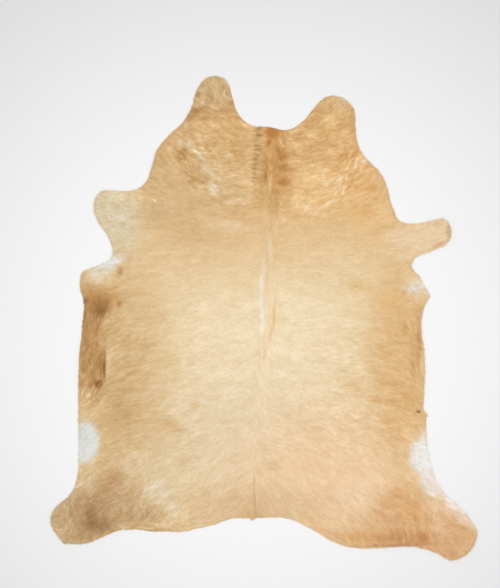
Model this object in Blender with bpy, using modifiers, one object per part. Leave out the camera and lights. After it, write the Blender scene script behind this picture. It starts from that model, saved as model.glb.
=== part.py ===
"""Hair-on cowhide rug: one whole tanned hide lying flat on the floor, hair side up.

The hide is a single sheet, so it is a single solid. Its outline runs clockwise, seen from
above, from the neck cut round both sides to the tail and back. The sheet lies on z = 0 and
lifts off the floor only in the soft folds that FOLDS lists. +Y points to the neck, +X to
the right of someone who looks down at the hide with its neck away from them.
"""

from collections import namedtuple

import bmesh
import bpy
import numpy as np
from mathutils.geometry import delaunay_2d_cdt

# --- Driving dimensions, in metres -------------------------------------------------------

LEATHER = 0.0025           # tanned skin
PILE = 0.0045              # short hair, lying flat on the skin
THICKNESS = LEATHER + PILE

MESH_SPACING = 0.050       # side of the triangles inside the sheet
CLEARANCE = 0.024          # nearest that an inner point comes to the cut edge or a fold
STEPS_PER_MARK = 5         # straight steps between two marks of the cut edge

HAIR_TAN = (0.68, 0.48, 0.26, 1.0)

# --- The cut edge ------------------------------------------------------------------------
# Each mark is a landmark of the animal's shape on the cut edge, measured from the middle of
# the hide: across to the right, along towards the neck. The edge turns softly at a ROUND
# mark and sharply at a CORNER.

ROUND, CORNER = "AUTO", "VECTOR"
Mark = namedtuple("Mark", "place across along turn")

NECK_CUT = (
    Mark("notch, left end", -0.055, 0.960, ROUND),
    Mark("notch, middle", 0.025, 0.955, ROUND),
    Mark("notch, right end", 0.115, 0.940, ROUND),
)
RIGHT_CHEEK = (
    Mark("inner root", 0.190, 0.980, ROUND),
    Mark("inner side", 0.245, 1.045, ROUND),
    Mark("inner shoulder", 0.290, 1.090, ROUND),
    Mark("tip", 0.350, 1.105, ROUND),
    Mark("outer shoulder", 0.420, 1.075, ROUND),
    Mark("outer corner", 0.452, 1.025, ROUND),
    Mark("outer side", 0.455, 0.935, ROUND),
)
RIGHT_SHOULDER = (
    Mark("neck hollow", 0.480, 0.835, ROUND),
    Mark("shoulder, top", 0.590, 0.705, ROUND),
    Mark("shoulder, low", 0.645, 0.540, ROUND),
)
RIGHT_FORELEG = (
    Mark("root, neck side", 0.680, 0.480, ROUND),
    Mark("neck side", 0.815, 0.482, ROUND),
    Mark("knee, neck side", 0.890, 0.493, ROUND),
    Mark("knee", 0.930, 0.437, ROUND),
    Mark("knee, belly side", 0.908, 0.370, ROUND),
    Mark("belly side", 0.835, 0.335, ROUND),
    Mark("armpit", 0.735, 0.270, ROUND),
    Mark("elbow, upper side", 0.778, 0.197, ROUND),
    Mark("elbow", 0.827, 0.110, CORNER),
    Mark("elbow, lower side", 0.795, 0.045, ROUND),
)
RIGHT_FLANK = (
    Mark("belly, front", 0.782, -0.040, ROUND),
    Mark("belly, middle", 0.797, -0.185, ROUND),
    Mark("belly, back", 0.797, -0.335, ROUND),
    Mark("nick, inner end", 0.790, -0.455, CORNER),
    Mark("nick, outer end", 0.807, -0.475, CORNER),
    Mark("stifle", 0.810, -0.590, ROUND),
    Mark("stifle, low", 0.832, -0.725, ROUND),
)
RIGHT_HIND_LEG = (
    Mark("root", 0.882, -0.850, ROUND),
    Mark("back", 0.966, -0.930, ROUND),
    Mark("heel", 1.035, -1.010, ROUND),
    Mark("tip", 1.060, -1.085, ROUND),
    Mark("toe", 0.940, -1.203, ROUND),
    Mark("tail side", 0.842, -1.160, ROUND),
    Mark("tail side, root", 0.738, -1.135, ROUND),
)
RUMP = (
    Mark("right buttock, outer", 0.608, -1.140, ROUND),
    Mark("right buttock", 0.464, -1.143, ROUND),
    Mark("right rump, outer", 0.345, -1.111, ROUND),
    Mark("right rump", 0.222, -1.041, ROUND),
    Mark("tail, right", 0.116, -0.995, ROUND),
    Mark("tail stub, right", -0.038, -0.994, CORNER),
    Mark("tail stub, tip", -0.058, -1.007, CORNER),
    Mark("tail stub, left", -0.075, -0.994, CORNER),
    Mark("tail, left", -0.147, -0.995, ROUND),
    Mark("left rump", -0.256, -1.029, ROUND),
    Mark("left rump, outer", -0.386, -1.059, ROUND),
    Mark("left buttock", -0.540, -1.064, ROUND),
    Mark("left buttock, outer", -0.694, -1.054, ROUND),
)
LEFT_HIND_LEG = (
    Mark("tail side, root", -0.793, -1.086, ROUND),
    Mark("tail side", -0.893, -1.124, ROUND),
    Mark("toe", -0.997, -1.121, CORNER),
    Mark("tip", -1.059, -1.014, ROUND),
    Mark("heel", -1.037, -0.942, ROUND),
    Mark("back", -0.967, -0.875, ROUND),
    Mark("root", -0.930, -0.796, ROUND),
)
LEFT_FLANK = (
    Mark("stifle, low", -0.920, -0.681, ROUND),
    Mark("stifle", -0.922, -0.532, ROUND),
    Mark("belly, back", -0.922, -0.408, ROUND),
    Mark("belly, middle", -0.917, -0.209, ROUND),
    Mark("belly, front", -0.903, -0.035, ROUND),
    Mark("elbow, lower side", -0.895, 0.079, ROUND),
)
LEFT_FORELEG = (
    Mark("elbow, low", -0.915, 0.168, ROUND),
    Mark("elbow", -0.893, 0.236, ROUND),
    Mark("elbow, upper side", -0.818, 0.263, ROUND),
    Mark("armpit", -0.756, 0.303, ROUND),
    Mark("root, belly side", -0.773, 0.402, ROUND),
    Mark("belly side", -0.823, 0.477, ROUND),
    Mark("knee, belly side", -0.845, 0.551, ROUND),
    Mark("knee", -0.823, 0.618, ROUND),
    Mark("neck side", -0.748, 0.636, ROUND),
    Mark("root, neck side", -0.654, 0.633, ROUND),
)
LEFT_SHOULDER = (
    Mark("shoulder, low", -0.592, 0.670, ROUND),
    Mark("shoulder", -0.557, 0.750, ROUND),
    Mark("shoulder, top", -0.530, 0.837, ROUND),
    Mark("neck hollow", -0.465, 0.914, ROUND),
)
LEFT_CHEEK = (
    Mark("outer root", -0.400, 0.976, ROUND),
    Mark("outer side", -0.361, 1.043, ROUND),
    Mark("outer shoulder", -0.336, 1.128, ROUND),
    Mark("outer tip", -0.291, 1.190, ROUND),
    Mark("tip", -0.236, 1.205, ROUND),
    Mark("inner shoulder", -0.182, 1.180, ROUND),
    Mark("inner side", -0.152, 1.098, ROUND),
    Mark("inner root", -0.122, 1.016, ROUND),
)
CUT_EDGE = (
    NECK_CUT + RIGHT_CHEEK + RIGHT_SHOULDER + RIGHT_FORELEG + RIGHT_FLANK + RIGHT_HIND_LEG
    + RUMP + LEFT_HIND_LEG + LEFT_FLANK + LEFT_FORELEG + LEFT_SHOULDER + LEFT_CHEEK
)

# --- Folds -------------------------------------------------------------------------------
# A fold is a soft ridge along its crest, a line of two or more (across, along) places. It
# is rise high at its highest, spread wide to each side, and sinks to the floor at its ends.

Fold = namedtuple("Fold", "name crest rise spread")

FOLDS = (
    Fold("spine, front", ((0.020, 0.900), (0.020, 0.485), (-0.010, 0.190), (-0.010, -0.060)),
         0.007, 0.060),
    Fold("spine, back", ((-0.010, 0.190), (0.005, -0.410), (-0.035, -0.605), (-0.050, -0.950)),
         0.005, 0.050),
    Fold("neck crest", ((0.055, 0.900), (0.085, 0.700), (0.060, 0.500)), 0.006, 0.050),
    Fold("left shoulder", ((-0.540, 0.790), (-0.400, 0.700), (-0.130, 0.420)), 0.005, 0.070),
    Fold("right shoulder", ((0.440, 0.780), (0.350, 0.620), (0.200, 0.470)), 0.005, 0.065),
    Fold("left foreleg", ((-0.800, 0.560), (-0.650, 0.520), (-0.500, 0.560)), 0.008, 0.055),
    Fold("left armpit", ((-0.760, 0.290), (-0.700, 0.245), (-0.705, 0.050)), 0.008, 0.045),
    Fold("left flank", ((-0.880, 0.030), (-0.800, -0.110), (-0.790, -0.400)), 0.009, 0.050),
    Fold("left flank edge", ((-0.915, -0.120), (-0.925, -0.350)), 0.007, 0.045),
    Fold("left hind foot", ((-1.065, -1.060), (-1.045, -0.960)), 0.010, 0.080),
    Fold("left hind leg", ((-0.960, -0.900), (-0.800, -1.030), (-0.640, -1.060)), 0.006, 0.060),
    Fold("right foreleg", ((0.540, 0.320), (0.665, 0.250), (0.760, 0.250)), 0.007, 0.050),
    Fold("right knee", ((0.935, 0.480), (0.925, 0.380)), 0.009, 0.060),
    Fold("right flank", ((0.800, 0.060), (0.765, -0.120), (0.770, -0.450)), 0.008, 0.045),
    Fold("right hind leg", ((0.560, -1.140), (0.760, -1.110), (0.960, -1.080)), 0.007, 0.060),
    Fold("right hind foot", ((1.050, -1.120), (0.960, -1.200)), 0.010, 0.070),
)


def clear_scene():
    for old in list(bpy.data.objects):
        bpy.data.objects.remove(old, do_unlink=True)


def cut_edge_points():
    """The cut edge as a ring of (across, along) points, read from a Bezier curve."""
    curve = bpy.data.curves.new("cut_edge", "CURVE")
    curve.dimensions = "2D"
    curve.fill_mode = "NONE"
    curve.resolution_u = STEPS_PER_MARK
    edge = curve.splines.new("BEZIER")
    edge.bezier_points.add(len(CUT_EDGE) - 1)
    edge.use_cyclic_u = True
    for point, mark in zip(edge.bezier_points, CUT_EDGE):
        point.co = (mark.across, mark.along, 0.0)
        point.handle_left_type = mark.turn
        point.handle_right_type = mark.turn
    carrier = bpy.data.objects.new("cut_edge", curve)
    bpy.context.scene.collection.objects.link(carrier)
    graph = bpy.context.evaluated_depsgraph_get()
    outline = bpy.data.meshes.new_from_object(carrier.evaluated_get(graph))
    ring = np.array([vert.co.xy for vert in outline.vertices])
    bpy.data.meshes.remove(outline)
    bpy.data.objects.remove(carrier)
    bpy.data.curves.remove(curve)
    return ring


def inside(points, ring):
    """Which points lie inside the ring, by counting the edges to the right of each."""
    crossings = np.zeros(len(points), dtype=int)
    for (x1, y1), (x2, y2) in zip(ring, np.roll(ring, -1, axis=0)):
        spans = (y1 > points[:, 1]) != (y2 > points[:, 1])
        if y1 != y2:
            reach = x1 + (points[:, 1] - y1) * (x2 - x1) / (y2 - y1)
            crossings += spans & (reach > points[:, 0])
    return crossings % 2 == 1


def nearest(points, others):
    """The distance from each point to the nearest of the others."""
    return np.array([np.hypot(*(others - point).T).min() for point in points])


def with_room(points, taken, ring):
    """The points that lie inside the ring and clear of those already taken."""
    points = points[inside(points, ring)]
    return points[nearest(points, np.vstack((ring, taken))) > CLEARANCE]


def fold_rows(fold):
    """Rows of points along a fold, about one mesh spacing apart: its crest and its slopes."""
    crest = np.array(fold.crest)
    sizes = np.hypot(*np.diff(crest, axis=0).T)
    run = np.concatenate(([0.0], np.cumsum(sizes)))
    count = max(2, round(run[-1] / MESH_SPACING) + 1)
    along = np.linspace(0.0, run[-1], count)
    row = np.column_stack([np.interp(along, run, crest[:, axis]) for axis in (0, 1)])
    ahead = np.gradient(row, axis=0)
    sideways = np.column_stack((-ahead[:, 1], ahead[:, 0])) / np.hypot(*ahead.T)[:, None]
    halfway = fold.spread / 2
    return [row, row + halfway * sideways, row - halfway * sideways]


def inner_points(ring):
    """Points inside the sheet: rows along the folds first, then a triangular lattice."""
    kept = np.empty((0, 2))
    for fold in FOLDS:
        for row in fold_rows(fold):
            kept = np.vstack((kept, with_room(row, kept, ring)))

    low, high = ring.min(axis=0), ring.max(axis=0)
    row_height = MESH_SPACING * 3 ** 0.5 / 2
    rows = []
    for number, y in enumerate(np.arange(low[1], high[1], row_height)):
        start = low[0] + (number % 2) * MESH_SPACING / 2
        across = np.arange(start, high[0], MESH_SPACING)
        rows.append(np.column_stack((across, np.full(len(across), y))))
    return np.vstack((kept, with_room(np.vstack(rows), kept, ring)))


def fold_height(points):
    """How far the folds lift the underside off the floor at each point."""
    height = np.zeros(len(points))
    for fold in FOLDS:
        crest = np.array(fold.crest)
        sizes = np.hypot(*np.diff(crest, axis=0).T)
        starts = np.concatenate(([0.0], np.cumsum(sizes)))
        gap = np.full(len(points), np.inf)
        share = np.zeros(len(points))
        for a, b, size, start in zip(crest, crest[1:], sizes, starts):
            t = np.clip((points - a) @ (b - a) / size ** 2, 0.0, 1.0)
            reach = np.hypot(*(points - a - t[:, None] * (b - a)).T)
            closer = reach < gap
            gap = np.where(closer, reach, gap)
            share = np.where(closer, (start + t * size) / starts[-1], share)
        slope = 0.5 + 0.5 * np.cos(np.pi * np.clip(gap / fold.spread, 0.0, 1.0))
        fade = np.sin(np.pi * np.clip(share, 0.02, 0.98)) ** 0.5
        height = np.maximum(height, fold.rise * slope * fade)
    return height


def hair_material():
    material = bpy.data.materials.new("hair_on_hide")
    material.use_nodes = True
    surface = material.node_tree.nodes["Principled BSDF"]
    surface.inputs["Base Color"].default_value = HAIR_TAN
    surface.inputs["Roughness"].default_value = 0.7
    surface.inputs["Metallic"].default_value = 0.0
    return material


def hide():
    """The hide: its underside as an open sheet, thickened upwards by a Solidify modifier."""
    ring = cut_edge_points()
    inner = inner_points(ring)
    flat = [tuple(point) for point in np.vstack((ring, inner))]
    border = [(i, (i + 1) % len(ring)) for i in range(len(ring))]
    inside_only = 1
    merge_within = 1e-5
    flat, _, faces, _, _, _ = delaunay_2d_cdt(flat, border, [], inside_only, merge_within)

    places = np.array([tuple(point) for point in flat])
    middle = (places.min(axis=0) + places.max(axis=0)) / 2
    heights = fold_height(places)
    shape = bmesh.new()
    verts = [shape.verts.new((x - middle[0], y - middle[1], z))
             for (x, y), z in zip(places, heights)]
    for face in faces:
        shape.faces.new([verts[i] for i in face])
    bmesh.ops.recalc_face_normals(shape, faces=shape.faces)
    if sum(face.normal.z for face in shape.faces) > 0.0:
        bmesh.ops.reverse_faces(shape, faces=shape.faces)

    mesh = bpy.data.meshes.new("hide")
    shape.to_mesh(mesh)
    shape.free()
    mesh.materials.append(hair_material())
    obj = bpy.data.objects.new("hide", mesh)
    thicken = obj.modifiers.new("thickness", "SOLIDIFY")
    thicken.thickness = THICKNESS
    thicken.offset = -1.0
    return obj


clear_scene()
collection = bpy.data.collections.new("hair_on_cowhide_rug")
bpy.context.scene.collection.children.link(collection)
collection.objects.link(hide())
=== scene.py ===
import math
from collections import namedtuple

import bmesh
import bpy
import numpy as np
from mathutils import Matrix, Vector
from mathutils.bvhtree import BVHTree
from mathutils.geometry import delaunay_2d_cdt


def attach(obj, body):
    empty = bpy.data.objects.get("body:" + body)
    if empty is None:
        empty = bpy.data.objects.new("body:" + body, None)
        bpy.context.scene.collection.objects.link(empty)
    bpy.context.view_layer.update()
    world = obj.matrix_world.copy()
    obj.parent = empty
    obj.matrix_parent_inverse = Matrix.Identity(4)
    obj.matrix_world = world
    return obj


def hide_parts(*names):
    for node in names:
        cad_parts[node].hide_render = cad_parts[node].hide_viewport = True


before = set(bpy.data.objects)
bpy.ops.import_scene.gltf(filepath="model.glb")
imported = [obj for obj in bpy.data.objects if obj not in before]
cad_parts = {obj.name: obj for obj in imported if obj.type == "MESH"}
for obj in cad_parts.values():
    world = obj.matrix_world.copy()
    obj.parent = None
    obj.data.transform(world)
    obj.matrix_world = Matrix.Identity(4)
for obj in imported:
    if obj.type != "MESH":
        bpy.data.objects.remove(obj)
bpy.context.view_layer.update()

for thing in bpy.context.selected_objects:
    thing.select_set(False)

# --- Tanned skin -------------------------------------------------------------------------
# The hide itself: one skin of tanned cowhide, 2.5 mm thick, cut round the animal's outline.
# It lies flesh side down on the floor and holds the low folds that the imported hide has.
# Its cut edge lies a little inside the outline, because the hair reaches past it.

LEATHER = 0.0025
HIDE_THICK = 0.007            # leather and lying hair together
EDGE_INSET = 0.004            # from the outline of the hair in to the cut edge
SKIN_SPACING = 0.022          # side of the sheet's triangles
GRID_STEP = 0.010             # of the grid that holds the height of the folds
GRID_ROUNDS = 3               # of smoothing, so that the folds are soft
CLOUD_SIZE = 0.120            # of the soft shades in the leather
VEIN_SPACING = 0.170
VEIN_BEND = 0.09              # how far the veins wander from straight lines
VEIN_WAVE = 0.080             # over what distance they do
VEIN_WIDTH = 0.02             # part of their spacing
VEIN_DEPTH = 0.35             # how much of the vein's colour shows
EDGE_TILT = 0.5               # a face that faces up or down less than this is the cut edge
SUEDE = "#D3C2A6"
SUEDE_SHADE = "#B59E7E"
VEIN = "#A88E6E"
GRAIN = "#D9B587"
GRAIN_SHADE = "#B98F5E"
CUT = "#E6D9C2"
CUT_SHADE = "#C4AE8C"


def node(tree, kind, links=None, **settings):
    """Adds a node. links gives each input, by name or number, a value or a socket."""
    made = tree.nodes.new(kind)
    for name, value in settings.items():
        setattr(made, name, value)
    for key, value in (links or {}).items():
        socket = made.inputs[key]
        if isinstance(value, bpy.types.NodeSocket):
            tree.links.new(value, socket)
        else:
            socket.default_value = value
    return made


def linear(colour):
    """sRGB values from 0 to 1, as an array, turned to linear ones."""
    return np.where(colour <= 0.04045, colour / 12.92, ((colour + 0.055) / 1.055) ** 2.4)


def srgb(code):
    """The sRGB values of a hex colour, from 0 to 1."""
    return np.array([int(code[i:i + 2], 16) / 255 for i in (1, 3, 5)])


def rgba(code):
    """A hex colour as the linear colour that a node's socket takes."""
    return (*linear(srgb(code)), 1.0)


def outline_of(cad_node):
    """The outline of a CAD sheet, as points in order, and its surface to measure from."""
    shape = bmesh.new()
    shape.from_mesh(cad_node.data)
    bmesh.ops.remove_doubles(shape, verts=shape.verts, dist=1e-5)
    shape.normal_update()
    lying = {face for face in shape.faces if face.normal.z < -0.5}
    beside = {}
    for edge in shape.edges:
        if sum(face in lying for face in edge.link_faces) == 1:
            first, last = edge.verts
            beside.setdefault(first, []).append(last)
            beside.setdefault(last, []).append(first)
    start = next(iter(beside))
    ring = [start, beside[start][0]]
    while True:
        onward = [vert for vert in beside[ring[-1]] if vert is not ring[-2]][0]
        if onward is start:
            break
        ring.append(onward)
    points = np.array([vert.co.xy for vert in ring])
    surface = BVHTree.FromBMesh(shape)
    shape.free()
    turning = np.cross(points, np.roll(points, -1, axis=0)).sum()
    return (points if turning > 0.0 else points[::-1]), surface


def inside(points, ring):
    """Which points lie inside the ring, by counting its edges to the right of each."""
    crossings = np.zeros(len(points), dtype=int)
    for (x1, y1), (x2, y2) in zip(ring, np.roll(ring, -1, axis=0)):
        if y1 != y2:
            spans = (y1 > points[:, 1]) != (y2 > points[:, 1])
            crossing = x1 + (points[:, 1] - y1) * (x2 - x1) / (y2 - y1)
            crossings += spans & (crossing > points[:, 0])
    return crossings % 2 == 1


def moved_in(ring, inset):
    """The ring, which runs anticlockwise, moved inwards square to its run."""
    run = np.roll(ring, -1, axis=0) - np.roll(ring, 1, axis=0)
    run /= np.hypot(run[:, 0], run[:, 1])[:, None]
    return ring + inset * np.column_stack((-run[:, 1], run[:, 0]))


def lattice(ring, spacing):
    """A triangular lattice of points over the ring's box."""
    (left, low), (right, high) = ring.min(axis=0), ring.max(axis=0)
    rows = []
    for number, y in enumerate(np.arange(low, high, spacing * math.sqrt(3) / 2)):
        across = np.arange(left + (number % 2) * spacing / 2, right, spacing)
        rows.append(np.column_stack((across, np.full(len(across), y))))
    return np.vstack(rows)


def fold_grid(ring, surface):
    """How far the folds lift the hide off the floor, on a square grid over it."""
    left, low = ring.min(axis=0) - GRID_STEP
    columns, rows = ((ring.max(axis=0) - ring.min(axis=0)) / GRID_STEP + 4).astype(int)
    lift = np.zeros((rows, columns))
    down = Vector((0.0, 0.0, -1.0))
    for row in range(rows):
        for column in range(columns):
            above = Vector((left + column * GRID_STEP, low + row * GRID_STEP, 1.0))
            top = surface.ray_cast(above, down)[0] or surface.find_nearest(above)[0]
            lift[row, column] = max(0.0, top.z - HIDE_THICK)
    for _ in range(GRID_ROUNDS):
        for axis in (0, 1):
            ahead, behind = np.roll(lift, 1, axis), np.roll(lift, -1, axis)
            lift = (ahead + 2 * lift + behind) / 4
    return np.array((left, low)), lift


def lift_at(points):
    """The height of the folds at each point, between the grid's four nearest values."""
    place = (points - grid_corner) / GRID_STEP
    cell = np.clip(place.astype(int), 0, np.array(grid_lift.shape)[::-1] - 2)
    column, row = cell.T
    x, y = np.clip(place - cell, 0.0, 1.0).T
    low = grid_lift[row, column] * (1 - x) + grid_lift[row, column + 1] * x
    high = grid_lift[row + 1, column] * (1 - x) + grid_lift[row + 1, column + 1] * x
    return low * (1 - y) + high * y


ring, hide_surface = outline_of(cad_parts["hide"])
grid_corner, grid_lift = fold_grid(ring, hide_surface)

edge = moved_in(ring, EDGE_INSET)
filling = lattice(edge, SKIN_SPACING)
filling = filling[inside(filling, moved_in(edge, SKIN_SPACING / 2))]
border = [(i, (i + 1) % len(edge)) for i in range(len(edge))]
flat, _, faces, _, _, _ = delaunay_2d_cdt(
    [Vector(point) for point in np.vstack((edge, filling))], border, [], 1, 1e-6)
flat = np.array([point[:] for point in flat])
skin_mesh = bpy.data.meshes.new("tanned_skin")
skin_mesh.from_pydata(np.column_stack((flat, lift_at(flat))).tolist(), [], faces)
skin = bpy.data.objects.new("tanned_skin", skin_mesh)
bpy.context.scene.collection.objects.link(skin)
bpy.context.view_layer.objects.active = skin
skin.select_set(True)
bpy.ops.object.mode_set(mode="EDIT")
bpy.ops.mesh.select_all(action="SELECT")
bpy.ops.mesh.normals_make_consistent(inside=False)
bpy.ops.object.mode_set(mode="OBJECT")
if skin_mesh.polygons[0].normal.z < 0.0:
    skin_mesh.flip_normals()
thicken = skin.modifiers.new("thickness", "SOLIDIFY")
thicken.thickness = LEATHER
thicken.offset = 1.0
bpy.ops.object.modifier_apply(modifier=thicken.name)
bpy.ops.object.shade_smooth_by_angle(angle=math.radians(40))
skin.select_set(False)


def leather_material(name, base, shade, fibre, relief, roughness):
    """A dull leather surface: soft clouds of shade, and a fine nap of fibres in relief."""
    material = bpy.data.materials.new(name)
    material.use_nodes = True
    tree = material.node_tree
    place = node(tree, "ShaderNodeTexCoord").outputs["Object"]
    clouds = node(tree, "ShaderNodeTexNoise", {"Vector": place, "Scale": 1 / CLOUD_SIZE,
                  "Detail": 4.0, "Roughness": 0.6})
    nap = node(tree, "ShaderNodeTexNoise", {"Vector": place, "Scale": 1 / fibre,
               "Detail": 3.0, "Roughness": 0.7})
    worn = node(tree, "ShaderNodeMath", {0: clouds.outputs["Fac"], 1: nap.outputs["Fac"]},
                operation="ADD")
    part = node(tree, "ShaderNodeMapRange", {"Value": worn.outputs[0], "From Min": 0.75,
                "From Max": 1.3})
    mixed = node(tree, "ShaderNodeMix", {0: part.outputs[0], 6: rgba(base), 7: rgba(shade)},
                 data_type="RGBA")
    dull = node(tree, "ShaderNodeMapRange", {"Value": nap.outputs["Fac"],
                "To Min": roughness - 0.08, "To Max": roughness + 0.06})
    bump = node(tree, "ShaderNodeBump", {"Height": nap.outputs["Fac"], "Distance": relief,
                "Strength": 0.6})
    shader = tree.nodes["Principled BSDF"]
    tree.links.new(mixed.outputs[2], shader.inputs["Base Color"])
    tree.links.new(dull.outputs[0], shader.inputs["Roughness"])
    tree.links.new(bump.outputs[0], shader.inputs["Normal"])
    shader.inputs["Specular IOR Level"].default_value = 0.3
    return material


# Split suede, from the flesh side being shaved and buffed: a pale napped face with clouds of
# shade, on which faint veins branch. The nap is drawn at 2.5 mm, coarser than its 0.5 mm.
suede = leather_material("split_suede_flesh_side", SUEDE, SUEDE_SHADE, 0.0025, 0.0006, 0.90)
tree = suede.node_tree
shader = tree.nodes["Principled BSDF"]
place = node(tree, "ShaderNodeTexCoord").outputs["Object"]
wander = node(tree, "ShaderNodeTexNoise", {"Vector": place, "Scale": 1 / VEIN_WAVE,
              "Detail": 2.0})
bent = node(tree, "ShaderNodeVectorMath", {
    0: wander.outputs["Color"], 1: (VEIN_BEND, VEIN_BEND, 0.0), 2: place},
    operation="MULTIPLY_ADD")
branches = node(tree, "ShaderNodeTexVoronoi", {
    "Vector": bent.outputs[0], "Scale": 1 / VEIN_SPACING},
    feature="DISTANCE_TO_EDGE", voronoi_dimensions="2D")
vein = node(tree, "ShaderNodeMapRange", {"Value": branches.outputs["Distance"],
            "From Max": VEIN_WIDTH, "To Min": VEIN_DEPTH, "To Max": 0.0})
bare = shader.inputs["Base Color"].links[0].from_socket
veined = node(tree, "ShaderNodeMix", {0: vein.outputs[0], 6: bare, 7: rgba(VEIN)},
              data_type="RGBA")
tree.links.new(veined.outputs[2], shader.inputs["Base Color"])
shader.inputs["Sheen Weight"].default_value = 0.25

# Grain side, which shows only between the roots: tanned cowhide, smooth, with pores, painted mostly
# in the coat's own colours, darkened, as painted shade of the hair between the roots.
grain = leather_material("grain_leather_under_hair", GRAIN, GRAIN_SHADE, 0.0015, 0.0003, 0.62)
tree = grain.node_tree
shader = tree.nodes["Principled BSDF"]
bare = shader.inputs["Base Color"].links[0].from_socket
coat_in_shade = node(tree, "ShaderNodeAttribute", attribute_name="coat")
grain_in_shade = node(tree, "ShaderNodeMix", {0: 0.85, 6: bare, 7: coat_in_shade.outputs["Color"]},
               data_type="RGBA")
tree.links.new(grain_in_shade.outputs[2], shader.inputs["Base Color"])

# The knife leaves the core of the leather bare: a pale, fibrous edge.
core = leather_material("cut_leather_edge", CUT, CUT_SHADE, 0.0012, 0.0004, 0.85)

for material in (suede, grain, core):
    skin.data.materials.append(material)
for face in skin.data.polygons:
    if abs(face.normal.z) < EDGE_TILT:
        face.material_index = 2
    else:
        face.material_index = int(face.normal.z > 0.0)
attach(skin, "root")
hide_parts("hide")

# --- Coat of hair ------------------------------------------------------------------------
# The hair that was left on the skin when it was tanned: short locks that lie flat and run
# out from the line of the spine. Each lock is rooted in the grain and lies over the next
# ones. It is cream on the back, tan on the neck and legs, and white in the armpits.

ROOT_SPACING = 0.0041
LOCK_WIDTH = 0.0063
LOCK_THICK = 0.0004           # from its ridge down to its sides
ROOT_DEPTH = 0.0001           # how far the root is sunk in the grain
WIDEST = 0.45                 # of the lock's length, where it is widest
LAY_ANGLE = 2.6               # degrees that a lock rises from the skin
PITCH_STRAY = 0.4             # degrees that this differs by, from lock to lock
ROLL_STRAY = 8.0              # degrees that a lock leans to its side
LIE_STRAY = 6.0               # degrees that a lock lies off its neighbours' way
LENGTH_STRAY = 0.15           # part of its length that a lock is longer or shorter by
WIDTH_STRAY = 0.20            # and part of its width
OVERHANG = 0.0018             # how far the tips at the edge reach past the outline, on average
DROOP = 3.0                   # degrees that those tips fall
DROOP_ZONE = 0.006            # locks that end this near the edge fall a little too
FRINGE_THIN = 0.45            # part of their width that the locks at the edge lack
STRANDS_ACROSS = 9.0          # strands over a lock's width
STRANDS_ALONG = 1.5           # and how many times they change over its length
ROOT_SHADE = 0.88             # how bright a lock is at its root, beside its tip
UNDERCOAT_SHADE = 0.80              # of the coat's brightness, painted into the skin under it as shade
SHOWING = 0.55                # of the lock's length, where its colour shows
STRAY = 0.004                 # how far a colour's edge is carried along the lie, at random
WANDER = 0.003                # how far a colour's edge wanders in soft waves
WANDER_SIZE = 0.050           # over what distance it does
RUFFLE_SIZES = (0.080, 0.025)         # of the broad and the fine waves in the lie of the hair
FINE_RUFFLE = 0.6             # how strong the fine ones are beside the broad ones
LEAST_FACING = 0.15           # a lock along the edge counts as pointing out by this much
PALEST = 0.95                 # the brightest that a lock's own colour may be
COAT_BASE = "#E3C495"
GLOSS = 0.040                 # white that the gloss of lying hair adds to its own colour
SELF_SHADE = (1.02, 0.09)     # how bright dark hair lies, and how much more pale hair does
LIGHT_MIDDLE = (-0.06, -0.12)
LIGHT_FALL = 0.08             # less light for each metre out from that middle, squared, which the coat's colours are painted brighter to make up for
STREAK_HUE = np.array((1.0, 1.6, 2.6))    # a darker streak is a browner one
SEED = 7
SEED_STEP = 7.31              # from one lock's own random number to the next one's
CELL_MARGIN = 0.1             # of a lock's square on the map of its colours, left round it


# The coat's markings, laid over each other in this order, and among them a few rows of painted
# shade, marked where they stand. Each is an oval: its middle, its half sizes, its colour, how much
# of that colour it lays on, how much of its size its soft edge takes, how far it breaks up into
# flecks and, where it is turned, the degrees. The first table holds the broad ground colours and a
# few soft marks on the back.
Patch = namedtuple("Patch", "name across along half_across half_along colour strength soft fleck turn",
                   defaults=(0,))
BODY_TONES = (
    ("cream back",            0.020, -0.150, 0.500, 0.560, "#F3DEB8", 1.00, 0.8, 0.0),
    ("pale loin",            -0.130, -0.640, 0.480, 0.300, "#E5D1AE", 0.70, 0.9, 0.1),
    ("peach rump",            0.330, -0.760, 0.420, 0.300, "#F1CDA3", 0.85, 0.8, 0.1),
    ("tan rump",             -0.060, -0.960, 0.330, 0.110, "#DCB98E", 0.80, 0.8, 0.1),
    ("shoulder blades",       0.000,  0.400, 0.560, 0.200, "#E6C595", 0.70, 0.8, 0.1),
    ("tan neck",              0.060,  0.900, 0.620, 0.420, "#DEB27C", 0.95, 0.6, 0.0),
    ("left neck",            -0.330,  0.640, 0.260, 0.300, "#D8B585", 0.80, 0.6, 0.1, -20),
    ("right neck",            0.250,  0.640, 0.180, 0.130, "#EEC58F", 0.80, 0.6, 0.1),
    ("orange shoulder",       0.520,  0.640, 0.170, 0.260, "#E7B982", 0.70, 0.6, 0.1, 20),
    ("brown side",           -0.700, -0.330, 0.170, 0.480, "#D0AD7C", 0.90, 0.9, 0.2),
    ("orange side",           0.692, -0.220, 0.165, 0.400, "#DCAF79", 0.75, 0.6, 0.2),
    ("left hind leg",        -0.860, -0.980, 0.250, 0.150, "#BE9B72", 0.95, 0.6, 0.1, 25),
    ("right hind leg",        0.800, -1.070, 0.330, 0.140, "#DAAA7C", 1.00, 0.6, 0.1, -20),
    ("right back fleck",      0.440, -0.340, 0.050, 0.026, "#E2BF8B", 0.65, 0.9, 0.3, -20),
    ("right shoulder fleck",  0.460,  0.155, 0.055, 0.036, "#E2BF8A", 0.65, 0.9, 0.3),
    ("withers pale",         -0.160,  0.455, 0.090, 0.024, "#EED5AD", 0.75, 0.9, 0.1),
    ("left rib shade",       -0.458, -0.215, 0.034, 0.070, "#D9BA86", 0.50, 0.9, 0.3, 20),
)
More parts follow.
